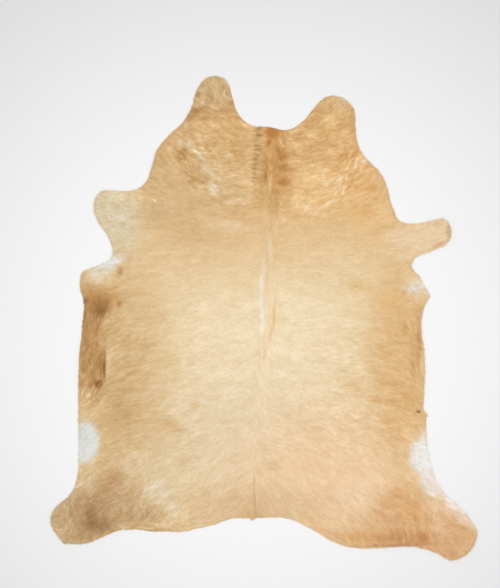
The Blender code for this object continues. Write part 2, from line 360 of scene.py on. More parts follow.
NECK_TONES = (
    ("left cheek",           -0.240,  1.130, 0.105, 0.085, "#CCAD80", 0.90, 0.5, 0.2),
    ("left cheek root",      -0.255,  1.022, 0.100, 0.026, "#C29B69", 0.70, 0.8, 0.3),
    ("left cheek rim",       -0.360,  1.010, 0.018, 0.040, "#B28A5B", 0.70, 0.8, 0.1, -35),
    ("left cheek inner",     -0.160,  1.066, 0.014, 0.020, "#BC9165", 0.75, 0.8, 0.1),
    ("left cheek ear",       -0.202,  1.149, 0.010, 0.012, "#B5956A", 0.70, 0.8, 0.1),
    ("left cheek curl",      -0.307,  1.074, 0.018, 0.014, "#DDC29E", 0.80, 0.8, 0.1),
    ("left cheek spot",      -0.325,  1.109, 0.012, 0.012, "#AE8558", 0.75, 0.8, 0.1),
    ("right cheek",           0.345,  1.055, 0.090, 0.050, "#DBB686", 0.80, 0.6, 0.3),
    ("right cheek tip",       0.400,  1.080, 0.026, 0.016, "#E3CBA8", 0.70, 0.8, 0.3, -25),
    ("right cheek edge",      0.440,  1.000, 0.014, 0.070, "#CDA170", 0.70, 0.7, 0.2),
    ("right cheek mark",      0.405,  0.955, 0.018, 0.010, "#C49A60", 0.80, 0.8, 0.2),
    ("crest band",            0.055,  0.770, 0.058, 0.190, "#CD9C63", 0.95, 0.2, 0.1),
    ("crest top",             0.048,  0.925, 0.046, 0.028, "#B97F49", 0.90, 0.6, 0.2),
    ("crest curl",            0.026,  0.873, 0.010, 0.016, "#A8713D", 0.90, 0.8, 0.1, -20),
    ("crest right top",       0.095,  0.798, 0.018, 0.014, "#AE7944", 0.90, 0.8, 0.1),
    ("crest right middle",    0.095,  0.745, 0.022, 0.014, "#BA844D", 0.85, 0.8, 0.2),
    ("crest right low",       0.092,  0.676, 0.026, 0.014, "#B57B42", 0.90, 0.7, 0.1),
    ("crest foot",            0.040,  0.590, 0.068, 0.050, "#CFA36E", 0.80, 0.9, 0.3),
    ("crest light",           0.030,  0.665, 0.008, 0.040, "#E9C78F", 0.90, 0.8, 0.1, -6),
    ("crest left side",      -0.010,  0.750, 0.013, 0.150, "#CB9D67", 0.80, 0.9, 0.3),
    ("wrinkle column",       -0.032,  0.850, 0.015, 0.110, "#C39A6B", 0.80, 0.6, 0.2, -5),
    ("wrinkle column low",   -0.043,  0.710, 0.008, 0.060, "#C79C6B", 0.80, 0.8, 0.2),
    ("wrinkle head",         -0.016,  0.925, 0.012, 0.016, "#B98D5D", 0.80, 0.8, 0.2),
    ("wrinkle side",         -0.075,  0.790, 0.018, 0.150, "#E0BD8B", 0.70, 0.9, 0.2),
    ("left blaze head",      -0.388,  0.862, 0.034, 0.017, "#DCC7A3", 0.90, 0.8, 0.3, -5),
    ("left blaze fleck",     -0.370,  0.908, 0.008, 0.007, "#E3CBA5", 0.80, 0.8, 0.0),
    ("left blaze upper",     -0.328,  0.816, 0.007, 0.050, "#E1CFAA", 0.90, 0.8, 0.1, 42),
    ("left blaze thin",      -0.336,  0.770, 0.006, 0.038, "#E0CBA3", 0.85, 0.8, 0.1, 40),
    ("left blaze middle",    -0.282,  0.742, 0.030, 0.016, "#E4D0AD", 0.90, 0.8, 0.2, -30),
    ("left blaze low",       -0.262,  0.668, 0.018, 0.012, "#E7D3B2", 0.85, 0.8, 0.3, 30),
    ("left blaze foot",      -0.244,  0.640, 0.018, 0.030, "#EBDCC2", 0.95, 0.7, 0.1, 42),
    ("left brown",           -0.405,  0.808, 0.036, 0.032, "#BE9159", 0.80, 0.8, 0.4),
    ("left brown middle",    -0.378,  0.745, 0.034, 0.040, "#C29763", 0.80, 0.8, 0.4, 40),
    ("left brown dash",      -0.318,  0.745, 0.010, 0.014, "#BE9462", 0.70, 0.8, 0.2),
    ("left brown foot",      -0.342,  0.682, 0.026, 0.016, "#BC945B", 0.80, 0.8, 0.3),
    ("left outer tan",       -0.500,  0.740, 0.070, 0.090, "#CFAB7A", 0.60, 0.9, 0.4),
    ("left neck glow",       -0.150,  0.840, 0.070, 0.050, "#D3A76C", 0.60, 0.9, 0.5),
    ("left wither",          -0.110,  0.590, 0.050, 0.026, "#EBD2AC", 0.70, 0.9, 0.4),
    ("right orange",          0.453,  0.818, 0.014, 0.026, "#D1965A", 0.85, 0.8, 0.2),
    ("right orange side",     0.395,  0.808, 0.040, 0.012, "#D0995F", 0.80, 0.8, 0.2),
    ("right brown",           0.455,  0.660, 0.040, 0.040, "#DFAC70", 0.70, 0.9, 0.4),
    ("right blaze top",       0.453,  0.766, 0.008, 0.026, "#F0DBBE", 0.85, 0.8, 0.1),
    ("right blaze side",      0.486,  0.778, 0.018, 0.012, "#F3DBBC", 0.80, 0.8, 0.1, -20),
    ("right blaze thin",      0.436,  0.728, 0.004, 0.018, "#F0D6B0", 0.75, 0.8, 0.1, -6),
    ("right blaze",           0.376,  0.688, 0.020, 0.009, "#F2D9B5", 0.85, 0.8, 0.1, 45),
    ("right blaze drop",      0.392,  0.636, 0.006, 0.016, "#F6E0BE", 0.90, 0.8, 0.0, -20),
    ("right blaze spray",     0.320,  0.666, 0.030, 0.018, "#EDD2AB", 0.75, 0.9, 0.3),
    ("right blaze mist",      0.308,  0.737, 0.016, 0.010, "#F0CDA4", 0.75, 0.8, 0.1),
    ("right blaze low",       0.306,  0.562, 0.006, 0.036, "#F3E0BF", 0.85, 0.8, 0.4, -58),
    ("right blaze run",       0.262,  0.532, 0.008, 0.022, "#F1D8B2", 0.75, 0.8, 0.2, -50),
    ("left blaze inner",     -0.246,  0.708, 0.026, 0.012, "#E6D6B6", 0.85, 0.8, 0.2, -40),
    ("left blaze curl",      -0.362,  0.648, 0.008, 0.010, "#E1CCA6", 0.75, 0.8, 0.1),
    ("left neck fleck",      -0.170,  0.806, 0.018, 0.014, "#E5CBA0", 0.80, 0.8, 0.2),
    ("left brown point",     -0.285,  0.845, 0.014, 0.014, "#BB8E58", 0.80, 0.8, 0.2),
    ("crest left line",       0.010,  0.715, 0.006, 0.036, "#BD864E", 0.85, 0.8, 0.1),
    ("left cheek side",      -0.335,  1.040, 0.024, 0.030, "#B9925F", 0.75, 0.8, 0.2),
    ("right cheek root",      0.273,  1.020, 0.026, 0.010, "#C8985E", 0.80, 0.8, 0.1),
    ("right cheek spot",      0.331,  1.045, 0.010, 0.010, "#C8995A", 0.75, 0.8, 0.1),
    ("right crown spot",      0.290,  0.912, 0.024, 0.018, "#CC995D", 0.80, 0.8, 0.2),
    ("right orange point",    0.503,  0.754, 0.018, 0.010, "#D79E63", 0.80, 0.8, 0.1, -30),
    ("right blaze bright",    0.408,  0.692, 0.005, 0.014, "#F6E2C4", 0.90, 0.8, 0.0),
    ("right blaze seed",      0.358,  0.627, 0.008, 0.012, "#F2D8B2", 0.80, 0.8, 0.1),
    ("right blaze heel",      0.200,  0.553, 0.018, 0.014, "#F0D6AD", 0.75, 0.9, 0.2),
    ("right flame low",       0.495,  0.520, 0.036, 0.024, "#DFAC72", 0.75, 0.9, 0.2),
    ("right flame spot",      0.536,  0.640, 0.020, 0.014, "#D9A562", 0.70, 0.9, 0.2),
    ("crest right column",    0.112,  0.730, 0.030, 0.120, "#C9955D", 0.65, 0.8, 0.3),
    ("right flame rim",       0.583,  0.690, 0.030, 0.050, "#EAC28F", 0.70, 0.9, 0.2, 20),
    ("left blaze side",      -0.185,  0.635, 0.040, 0.020, "#E3C89C", 0.70, 0.9, 0.3),
    ("left cheek foot",      -0.295,  0.985, 0.060, 0.016, "#C99E6A", 0.75, 0.9, 0.2),
    ("right orange low",      0.430,  0.772, 0.030, 0.024, "#DDA970", 0.75, 0.9, 0.2),
    ("right blaze edge",      0.372,  0.730, 0.030, 0.024, "#DEAC72", 0.70, 0.9, 0.2),
    ("left neck shade",      -0.380,  0.915, 0.028, 0.050, "#BE9A68", 0.45, 0.9, 0.2, 20),
)
FORELEG_TONES = (
    ("left foreleg",         -0.740,  0.490, 0.130, 0.170, "#DCCAA9", 1.00, 0.6, 0.1, 20),
    ("left elbow shade",     -0.520,  0.535, 0.080, 0.050, "#CFAE82", 0.70, 0.9, 0.2),
    ("whorl fleck",          -0.541,  0.581, 0.011, 0.007, "#F0D2AC", 0.90, 0.8, 0.0),
    ("left armpit",          -0.770,  0.272, 0.075, 0.030, "#E9E7DF", 1.00, 0.7, 0.1, 18),
    ("left armpit low",      -0.830,  0.190, 0.038, 0.024, "#DFCEAE", 0.75, 0.8, 0.1, 10),
    ("left elbow point",     -0.712,  0.228, 0.012, 0.022, "#B2874F", 0.90, 0.9, 0.0, -10),
    ("left chest",           -0.670,  0.170, 0.060, 0.050, "#DEBC8B", 0.60, 0.9, 0.1),
    ("right foreleg",         0.790,  0.400, 0.170, 0.085, "#EBCFA9", 0.95, 0.6, 0.1, 10),
    ("right knee edge",       0.872,  0.366, 0.034, 0.008, "#C08E6C", 0.55, 0.8, 0.1, 20),
    ("right knee",            0.915,  0.420, 0.012, 0.050, "#CDA982", 0.75, 0.8, 0.1),
    ("right elbow rim",       0.765,  0.150, 0.075, 0.045, "#EAD9BC", 0.80, 0.8, 0.1),
    ("right elbow white",     0.758,  0.156, 0.056, 0.017, "#E9E4DA", 0.85, 0.8, 0.1, 19),
    ("right elbow fleck",     0.690,  0.123, 0.014, 0.014, "#C89E6E", 0.80, 0.8, 0.1),
    ("right elbow tan",       0.620,  0.080, 0.090, 0.050, "#E4BB83", 0.70, 0.9, 0.2),
    ("whorl fleck low",      -0.574,  0.555, 0.012, 0.006, "#EFCFA6", 0.90, 0.8, 0.0),
    ("left armpit mist",     -0.805,  0.232, 0.060, 0.026, "#E2D9C6", 0.80, 0.8, 0.2, 12),
)
FLANK_TONES = (
    ("left flank",           -0.870, -0.120, 0.075, 0.270, "#BE9261", 0.95, 0.4, 0.1),
    ("left flank upper",     -0.800,  0.100, 0.095, 0.050, "#C4955F", 0.90, 0.8, 0.2),
    ("left pocket",          -0.812,  0.044, 0.048, 0.034, "#93673C", 0.92, 0.9, 0.1),
    ("left pocket back",     -0.885,  0.085, 0.012, 0.016, "#8F6A45", 0.80, 0.9, 0.0),
    ("left pocket rim",      -0.718,  0.068, 0.008, 0.020, "#AB8049", 0.85, 0.8, 0.1),
    ("left flank light",     -0.770, -0.070, 0.050, 0.090, "#D2AC7B", 0.70, 0.9, 0.4),
    ("left flank front",     -0.885, -0.030, 0.022, 0.060, "#B1895A", 0.70, 0.9, 0.3),
    # Painted shadow along the fold in the left flank.
    ("left flank fold",      -0.790, -0.232, 0.007, 0.066, "#8B6440", 0.90, 0.7, 0.0),
    ("left fold foot",       -0.820, -0.322, 0.024, 0.014, "#84592F", 0.95, 0.8, 0.2, 10),
    ("left curls",           -0.822, -0.330, 0.018, 0.014, "#875C33", 0.95, 0.8, 0.2, 20),
    ("left curl tips",       -0.873, -0.382, 0.012, 0.008, "#F2D2A8", 0.90, 0.8, 0.0),
    ("left curl fleck",      -0.893, -0.288, 0.012, 0.008, "#DDB285", 0.80, 0.8, 0.1),
    ("left flank back",      -0.735, -0.480, 0.060, 0.060, "#CEAA7A", 0.50, 0.9, 0.3),
    ("left white",           -0.882, -0.612, 0.062, 0.098, "#DFE0DC", 1.00, 0.4, 0.0),
    ("left spot",            -0.462, -0.535, 0.056, 0.036, "#D5AE7B", 0.85, 0.9, 0.3, -20),
    ("left spot small",      -0.335, -0.435, 0.024, 0.018, "#DEBE8A", 0.70, 0.9, 0.3),
    ("left spot low",        -0.410, -0.705, 0.040, 0.024, "#D9BA90", 0.70, 0.9, 0.4),
    ("right flank dark",      0.766, -0.100, 0.010, 0.110, "#BC8A55", 0.70, 0.8, 0.4),
    ("right fleck",           0.700, -0.055, 0.012, 0.032, "#C8955A", 0.70, 0.9, 0.4),
    ("right flank inner",     0.735, -0.190, 0.012, 0.120, "#CD9B66", 0.60, 0.9, 0.6),
    ("right flank rim",       0.788, -0.230, 0.006, 0.190, "#DEBC92", 0.50, 0.8, 0.2),
    ("right flank low",       0.700, -0.390, 0.070, 0.070, "#DCAE79", 0.60, 0.9, 0.5),
    ("right speck",           0.548, -0.405, 0.032, 0.018, "#D8AB77", 0.75, 0.9, 0.2, -20),
    ("right speck low",       0.566, -0.418, 0.010, 0.006, "#C99D6C", 0.70, 0.9, 0.1, -20),
    ("right tick",            0.763, -0.465, 0.009, 0.006, "#86602F", 0.90, 0.7, 0.0),
    ("right stifle",          0.650, -0.535, 0.060, 0.045, "#E1B27D", 0.60, 0.9, 0.3),
    ("right white",           0.795, -0.690, 0.075, 0.095, "#EFEAE4", 1.00, 0.3, 0.0, 10),
    ("right white low",       0.840, -0.820, 0.058, 0.075, "#EFE6DE", 0.95, 0.4, 0.1, 30),
    ("right white foot",      0.940, -0.925, 0.135, 0.030, "#F3E6DA", 0.95, 0.8, 0.2, -47),
    ("right white tip",       0.795, -0.580, 0.020, 0.035, "#F3E2CA", 0.80, 0.9, 0.1),
    ("left pocket top",      -0.825,  0.092, 0.060, 0.026, "#AE804F", 0.75, 0.9, 0.2),
    ("left pocket peak",     -0.792,  0.078, 0.022, 0.016, "#A2784A", 0.80, 0.9, 0.1),
    ("left flank fleck",     -0.860, -0.244, 0.010, 0.006, "#DDB285", 0.80, 0.8, 0.0),
    ("left side dot",        -0.725, -0.138, 0.007, 0.007, "#EBC697", 0.85, 0.8, 0.0),
    ("left curl crest",      -0.818, -0.325, 0.016, 0.003, "#C99D6C", 0.80, 0.8, 0.0, 20),
    ("left curl crest low",  -0.828, -0.342, 0.016, 0.003, "#C2955F", 0.80, 0.8, 0.0, 20),
    ("left white low",       -0.884, -0.678, 0.062, 0.024, "#E3E2DC", 0.95, 0.6, 0.0, 48),
    # Painted shadow in the lower part of the flank fold.
    ("left fold lower",      -0.806, -0.236, 0.014, 0.050, "#98703F", 0.80, 0.9, 0.2, 4),
)
HIND_TONES = (
    ("left pale",            -0.600, -0.730, 0.100, 0.070, "#E3CDA9", 0.60, 0.9, 0.3),
    ("left pale low",        -0.520, -0.860, 0.075, 0.050, "#E3D2B4", 0.80, 0.9, 0.3),
    ("left tufts",           -0.455, -0.950, 0.050, 0.035, "#E9D7BC", 0.80, 0.9, 0.7),
    ("left thigh",           -0.760, -0.810, 0.060, 0.035, "#C19A6E", 0.75, 0.9, 0.4, 20),
    ("left thigh low",       -0.820, -0.865, 0.050, 0.030, "#BA976A", 0.75, 0.9, 0.3, 20),
    ("left heel",            -0.885, -0.805, 0.045, 0.055, "#DCC39D", 0.75, 0.9, 0.2),
    ("left hock",            -0.858, -0.990, 0.024, 0.044, "#8C6842", 0.88, 0.9, 0.2),
    ("left hock inner",      -0.820, -1.026, 0.060, 0.030, "#916D46", 0.85, 0.9, 0.2),
    ("left shank",           -0.700, -0.960, 0.090, 0.050, "#C2A074", 0.60, 0.9, 0.3),
    ("left foot top",        -0.980, -0.930, 0.035, 0.022, "#CAB08A", 0.60, 0.9, 0.2, 40),
    ("left buttock",         -0.590, -0.990, 0.075, 0.045, "#C3A278", 0.75, 0.9, 0.3),
    ("rump patch",            0.045, -0.732, 0.026, 0.024, "#D6B88B", 0.75, 0.9, 0.4),
    ("right thigh pale",      0.460, -0.900, 0.085, 0.085, "#F3D4AF", 0.80, 0.9, 0.2),
    ("right thigh",           0.668, -0.880, 0.060, 0.060, "#DAA672", 0.65, 0.9, 0.2),
    ("right thigh low",       0.745, -0.970, 0.060, 0.055, "#DEA974", 0.75, 0.9, 0.2),
    ("right buttock",         0.490, -1.092, 0.125, 0.036, "#D8A36D", 0.85, 0.9, 0.2),
    ("right hock",            0.690, -1.092, 0.110, 0.032, "#C48E5E", 0.85, 0.9, 0.3),
    ("right hock dark",       0.776, -1.092, 0.030, 0.024, "#BD8358", 0.80, 0.9, 0.2),
    ("right shin pale",       0.870, -0.980, 0.032, 0.085, "#EAC6A0", 0.85, 0.9, 0.2, 12),
    ("right foot red",        0.955, -1.035, 0.050, 0.030, "#D7A176", 0.75, 0.9, 0.3, -30),
    ("right toe",             0.925, -1.170, 0.050, 0.022, "#CC9D72", 0.75, 0.9, 0.2, -10),
    ("right rump edge",       0.300, -1.060, 0.100, 0.024, "#E3B687", 0.70, 0.9, 0.4, -30),
    ("left hock halo",       -0.855, -1.000, 0.085, 0.080, "#A8855B", 0.60, 0.9, 0.3),
    # The next two rows are painted shade: thin dark lines along the hide's lower edge, where the edge
    # and the hair at it lie in shadow.
    ("right rim shade",       0.640, -1.128, 0.190, 0.007, "#B0805A", 0.70, 0.8, 0.3, 2),
    ("left rump rim",        -0.560, -1.056, 0.140, 0.006, "#AE885E", 0.60, 0.8, 0.3),
    ("left tuft tip",        -0.892, -0.992, 0.008, 0.026, "#C7A57A", 0.70, 0.8, 0.2, 10),
    ("left thigh dark",      -0.745, -0.792, 0.030, 0.024, "#B48C5F", 0.55, 0.9, 0.3),
    ("right thigh red",       0.946, -0.990, 0.030, 0.026, "#E0B48E", 0.60, 0.9, 0.2, -40),
    ("left thigh shade low", -0.555, -0.975, 0.050, 0.036, "#BFA074", 0.50, 0.9, 0.3, 20),
)
SPINE_TONES = (
    ("spine light top",       0.030,  0.350, 0.008, 0.050, "#E9DABC", 0.80, 0.9, 0.2),
    ("spine light",          -0.012,  0.175, 0.010, 0.030, "#F3E7D6", 0.90, 0.9, 0.1),
    ("spine light low",      -0.011,  0.070, 0.008, 0.100, "#F4EADB", 0.85, 0.9, 0.1),
    ("spine dark top",        0.012,  0.220, 0.008, 0.090, "#E2C091", 0.70, 0.9, 0.3),
    ("spine peach left",     -0.065,  0.180, 0.018, 0.070, "#ECC99A", 0.60, 0.9, 0.3),
    ("spine peach",           0.035,  0.030, 0.014, 0.120, "#F4D3A8", 0.60, 0.9, 0.2, 5),
    ("spine thin line",       0.052,  0.040, 0.005, 0.075, "#E7BC86", 0.80, 0.9, 0.1, -5),
    ("spine thin foot",       0.034, -0.078, 0.005, 0.050, "#E9C08C", 0.75, 0.9, 0.1, -16),
    ("spine tan",             0.003, -0.165, 0.006, 0.050, "#E8BD8C", 0.70, 0.9, 0.1, -8),
    ("spine peach low",       0.008, -0.230, 0.012, 0.160, "#F6D8B0", 0.70, 0.9, 0.2),
    ("tail line",            -0.046, -0.900, 0.006, 0.100, "#CDA077", 0.75, 0.9, 0.1, 3),
    ("tail foot",            -0.055, -0.975, 0.045, 0.020, "#CFA374", 0.60, 0.9, 0.3),
    ("spine light high",     -0.004,  0.250, 0.008, 0.040, "#EEDFC8", 0.75, 0.9, 0.1),
    ("spine dash",            0.097, -0.003, 0.026, 0.004, "#E8C08C", 0.70, 0.9, 0.1),
)

# Small wrinkles across the left of the crest, in a row from its top to its foot. They have no relief:
# their shadows and lit sides are painted, as dark and pale dashes.
Row = namedtuple("Row", "number top foot head_across foot_across half_across half_along dark pale")
WRINKLE_SHADING = Row(28, 0.945, 0.640, -0.015, -0.052, 0.017, 0.0050, "#8C643E", "#EED3AC")
WRINKLE_STRAY = (0.009, 0.007)        # across and along
WRINKLE_SHADING_STRENGTH = (0.8, 0.75)        # of the painted shadows and of the painted highlights

# How the hair is combed. A stroke has a place, the way that the hair there points, in degrees
# anticlockwise from the animal's right, how long it is, how far the stroke's influence reaches,
# how strong the streaks are, and the degrees that the lie wanders by. A stroke combs only its
# own side of the spine: the left, where across is negative, or the right.
Stroke = namedtuple("Stroke", "across along heading length reach streak ruffle")
COMBED = (
    (-0.035,  0.880, 179, 0.013, 0.04, 0.060,  6),
    (-0.042,  0.740, 179, 0.013, 0.04, 0.060,  6),
    (-0.200,  0.780, 179, 0.026, 0.09, 0.075, 10),
    (-0.180,  0.620, 176, 0.028, 0.12, 0.068, 12),
    (-0.350,  0.800, 132, 0.028, 0.07, 0.100, 14),
    (-0.270,  0.690, 134, 0.028, 0.06, 0.095, 14),
    (-0.140,  0.980, 168, 0.024, 0.10, 0.068, 12),
    (-0.250,  1.025, 174, 0.018, 0.05, 0.090, 16),
    (-0.230,  1.140, 120, 0.012, 0.07, 0.070, 44),
    (-0.450,  0.890, 142, 0.026, 0.10, 0.068, 12),
    (-0.560,  0.720, 150, 0.026, 0.12, 0.053, 12),
    (-0.330,  0.500, 172, 0.028, 0.15, 0.028, 10),
    (-0.760,  0.560, 178, 0.018, 0.12, 0.044, 26),
    (-0.750,  0.380, 190, 0.022, 0.12, 0.040, 14),
    (-0.550,  0.400, 182, 0.024, 0.14, 0.029,  8),
    (-0.800,  0.200, 190, 0.022, 0.10, 0.046, 12),
    (-0.120,  0.330, 184, 0.026, 0.15, 0.019,  8),
    (-0.450,  0.150, 185, 0.026, 0.18, 0.024,  8),
    (-0.150,  0.000, 186, 0.026, 0.15, 0.025,  8),
    (-0.570, -0.230, 195, 0.028, 0.08, 0.046, 12),
    (-0.450, -0.200, 194, 0.028, 0.18, 0.033,  9),
    (-0.150, -0.240, 192, 0.026, 0.15, 0.025,  8),
    (-0.670, -0.120, 204, 0.028, 0.11, 0.052, 10),
    (-0.680, -0.360, 195, 0.028, 0.12, 0.045, 10),
    (-0.835,  0.050, 258, 0.020, 0.06, 0.095, 18),
    (-0.840, -0.100, 267, 0.022, 0.06, 0.082, 14),
    (-0.835, -0.250, 268, 0.020, 0.06, 0.082, 14),
    (-0.840, -0.360, 250, 0.018, 0.05, 0.105, 18),
    (-0.800, -0.480, 210, 0.026, 0.08, 0.042, 12),
    (-0.890, -0.640, 228, 0.024, 0.08, 0.024, 12),
    (-0.130, -0.450, 196, 0.026, 0.15, 0.026, 10),
    (-0.450, -0.480, 195, 0.028, 0.18, 0.031, 12),
    (-0.080, -0.700, 210, 0.026, 0.12, 0.026, 12),
    (-0.350, -0.750, 200, 0.028, 0.18, 0.029, 16),
    (-0.680, -0.760, 205, 0.013, 0.15, 0.045, 50),
    (-0.800, -0.900, 215, 0.011, 0.12, 0.068, 66),
    (-0.930, -0.960, 240, 0.010, 0.12, 0.070, 66),
    (-0.990, -1.080, 250, 0.010, 0.10, 0.068, 66),
    (-0.560, -0.980, 205, 0.012, 0.12, 0.066, 60),
    (-0.330, -0.970, 208, 0.020, 0.12, 0.039, 26),
    (-0.080, -0.920, 226, 0.026, 0.10, 0.029, 12),
    ( 0.130,  0.850,   2, 0.026, 0.10, 0.083, 12),
    ( 0.280,  0.820,   8, 0.028, 0.10, 0.068, 12),
    ( 0.200,  0.640,   4, 0.028, 0.12, 0.060, 12),
    ( 0.450,  0.770,  60, 0.022, 0.06, 0.090, 22),
    ( 0.380,  0.650,  48, 0.022, 0.06, 0.090, 22),
    ( 0.290,  0.550,  36, 0.026, 0.05, 0.060, 14),
    ( 0.250,  0.980,  20, 0.026, 0.10, 0.060, 14),
    ( 0.330,  0.985,   8, 0.020, 0.05, 0.060, 12),
    ( 0.370,  1.080,  60, 0.012, 0.07, 0.062, 44),
    ( 0.560,  0.640,  40, 0.028, 0.12, 0.053, 12),
    ( 0.400,  0.420,   8, 0.028, 0.15, 0.021,  8),
    ( 0.620,  0.470,  20, 0.026, 0.12, 0.033,  8),
    ( 0.620,  0.250,   8, 0.026, 0.12, 0.025,  8),
    ( 0.830,  0.420,   8, 0.022, 0.12, 0.023, 10),
    ( 0.780,  0.150, 340, 0.022, 0.10, 0.040, 12),
    ( 0.150,  0.330, 356, 0.026, 0.15, 0.021,  8),
    ( 0.450,  0.150, 354, 0.028, 0.20, 0.021,  8),
    ( 0.150,  0.000, 354, 0.026, 0.15, 0.022,  8),
    ( 0.450, -0.220, 347, 0.028, 0.20, 0.038,  9),
    ( 0.150, -0.240, 348, 0.026, 0.15, 0.022,  8),
    ( 0.630, -0.120, 337, 0.026, 0.10, 0.037, 10),
    ( 0.630, -0.380, 345, 0.026, 0.12, 0.052, 10),
    ( 0.755, -0.050, 274, 0.026, 0.04, 0.046, 12),
    ( 0.755, -0.220, 272, 0.026, 0.04, 0.046, 12),
    ( 0.755, -0.380, 278, 0.026, 0.04, 0.046, 12),
    ( 0.130, -0.450, 344, 0.026, 0.15, 0.026, 10),
    ( 0.450, -0.500, 344, 0.028, 0.18, 0.040, 12),
    ( 0.700, -0.540, 338, 0.028, 0.12, 0.038, 12),
    ( 0.800, -0.720, 322, 0.022, 0.08, 0.022, 12),
    ( 0.080, -0.700, 330, 0.026, 0.12, 0.027, 12),
    ( 0.380, -0.760, 338, 0.028, 0.18, 0.023, 16),
    ( 0.640, -0.800, 328, 0.028, 0.14, 0.039, 16),
    ( 0.720, -0.960, 315, 0.016, 0.12, 0.046, 34),
    ( 0.950, -1.020, 318, 0.016, 0.12, 0.040, 34),
    ( 0.700, -1.095, 272, 0.016, 0.06, 0.065, 20),
    ( 0.480, -0.980, 308, 0.026, 0.12, 0.035, 18),
    ( 0.200, -0.950, 318, 0.026, 0.12, 0.027, 14),
    ( 0.050, -0.930, 306, 0.026, 0.08, 0.025, 12),
)

# The line of the spine, up which the sides part. On it the hair runs straight back.
Mark = namedtuple("Mark", "along across half_width")
PARTING = (
    Mark(-1.00, -0.050, 0.020),
    Mark(-0.60, -0.030, 0.036),
    Mark(-0.26, -0.004, 0.040),
    Mark(-0.10, 0.006, 0.046),
    Mark(0.05, 0.018, 0.056),
    Mark(0.20, 0.010, 0.056),
    Mark(0.37, 0.024, 0.040),
    Mark(0.56, 0.046, 0.044),
    Mark(0.66, 0.034, 0.036),
    Mark(0.80, 0.036, 0.036),
    Mark(0.90, 0.066, 0.056),
    Mark(1.00, 0.070, 0.056),
)

Whorl = namedtuple("Whorl", "across along reach turn")
ELBOW_WHORL = Whorl(-0.565, 0.555, 0.045, 60)

# Streaks of hairs that lie together, from fine to broad, and the flecks that break a marking up. The
# streaks' lighter and darker tones are partly the hair's own colour and partly painted shading of the
# clumps.
Streak = namedtuple("Streak", "wide reach share")
STREAKS = (
    Streak(0.006, 0.009, 0.75),
    Streak(0.012, 0.018, 0.60),
    Streak(0.030, 0.042, 0.45),
)
FLECKS = Streak(0.010, 0.025, 1.0)
LOCK_SHARE = 0.55             # how much, beside the streaks, each lock differs by itself

# The fold in the left flank, which the locks beside it stop at.
Crease = namedtuple("Crease", "across along end_across end_along")
CREASES = (
    Crease(-0.785, -0.120, -0.787, -0.305),
    Crease(-0.787, -0.305, -0.826, -0.338),
)
SHORTEST = 0.008              # what is left of a lock that starts right beside a crease

# The coat is made in bands from head to tail, each from its lower edge up to its upper one.
Band = namedtuple("Band", "name low high")
BANDS = (
    Band("hair_of_neck", 0.560, 2.0),
    Band("hair_of_shoulders", 0.200, 0.560),
    Band("hair_of_back", -0.110, 0.200),
    Band("hair_of_loin", -0.420, -0.110),
    Band("hair_of_rump", -0.760, -0.420),
    Band("hair_of_hind_legs", -2.0, -0.760),
)


def smooth(part):
    """A soft step from 0 to 1."""
    part = np.clip(part, 0.0, 1.0)
    return part * part * (3 - 2 * part)


def cloud(points, size, seed):
    """Soft random values from -1 to 1 that change over the given size."""
    values = np.random.default_rng(seed).uniform(-1.0, 1.0, (64, 64))
    place = points / size + 1000.0
    cell = np.floor(place).astype(int)
    x, y = smooth(place - cell).T
    column, row = cell.T % 64
    right, up = (column + 1) % 64, (row + 1) % 64
    low = values[row, column] * (1 - x) + values[row, right] * x
    high = values[up, column] * (1 - x) + values[up, right] * x
    return low * (1 - y) + high * y


def turned(direction, degrees):
    """Directions turned anticlockwise."""
    angle = np.radians(degrees)
    x, y = direction.T
    return np.column_stack((x * np.cos(angle) - y * np.sin(angle),
                            x * np.sin(angle) + y * np.cos(angle)))


def combed(points):
    """Which way the hair lies at each point, how long it is and how strong its streaks are."""
    marks = [mark.along for mark in PARTING]
    parting = np.interp(points[:, 1], marks, [mark.across for mark in PARTING])
    half_width = np.interp(points[:, 1], marks, [mark.half_width for mark in PARTING])
    off_spine = points[:, 0] - parting
    lie = np.zeros_like(points)
    nature = np.zeros((len(points), 3))
    total = np.zeros((len(points), 1))
    for stroke in (Stroke(*row) for row in COMBED):
        apart = np.hypot(points[:, 0] - stroke.across, points[:, 1] - stroke.along)
        weight = (1 + (apart / stroke.reach) ** 2) ** -3 * (off_spine * stroke.across > 0)
        weight = weight[:, None]
        heading = math.radians(stroke.heading)
        lie += weight * np.array((math.cos(heading), math.sin(heading)))
        nature += weight * np.array((stroke.length, stroke.streak, stroke.ruffle))
        total += weight
    length, streak, ruffle = (nature / total).T
    lie /= np.hypot(lie[:, 0], lie[:, 1])[:, None]
    backward = np.exp(-(off_spine / half_width) ** 4)[:, None]
    lie = lie * (1 - backward) + np.array((0.0, -1.0)) * backward
    from_whorl = points - np.array(ELBOW_WHORL[:2])
    away = np.hypot(from_whorl[:, 0], from_whorl[:, 1])
    swirl = turned(from_whorl / (away[:, None] + 1e-6), ELBOW_WHORL.turn)
    strength = np.exp(-(away / ELBOW_WHORL.reach) ** 2)[:, None]
    lie = lie * (1 - strength) + swirl * strength
    lie /= np.hypot(lie[:, 0], lie[:, 1])[:, None]
    stray = cloud(points, RUFFLE_SIZES[0], SEED)
    stray += FINE_RUFFLE * cloud(points, RUFFLE_SIZES[1], SEED + 1)
    return turned(lie, ruffle * stray), length, streak


def drawn_out(points, lie, streak, seed, steps=9):
    """Random values, mostly from -1 to 1, in streaks that run with the lie of the hair."""
    total = np.zeros(len(points))
    for step in np.linspace(-streak.reach, streak.reach, steps):
        total += cloud(points + step * lie, streak.wide, seed)
    return total / (total.std() or 1.0)


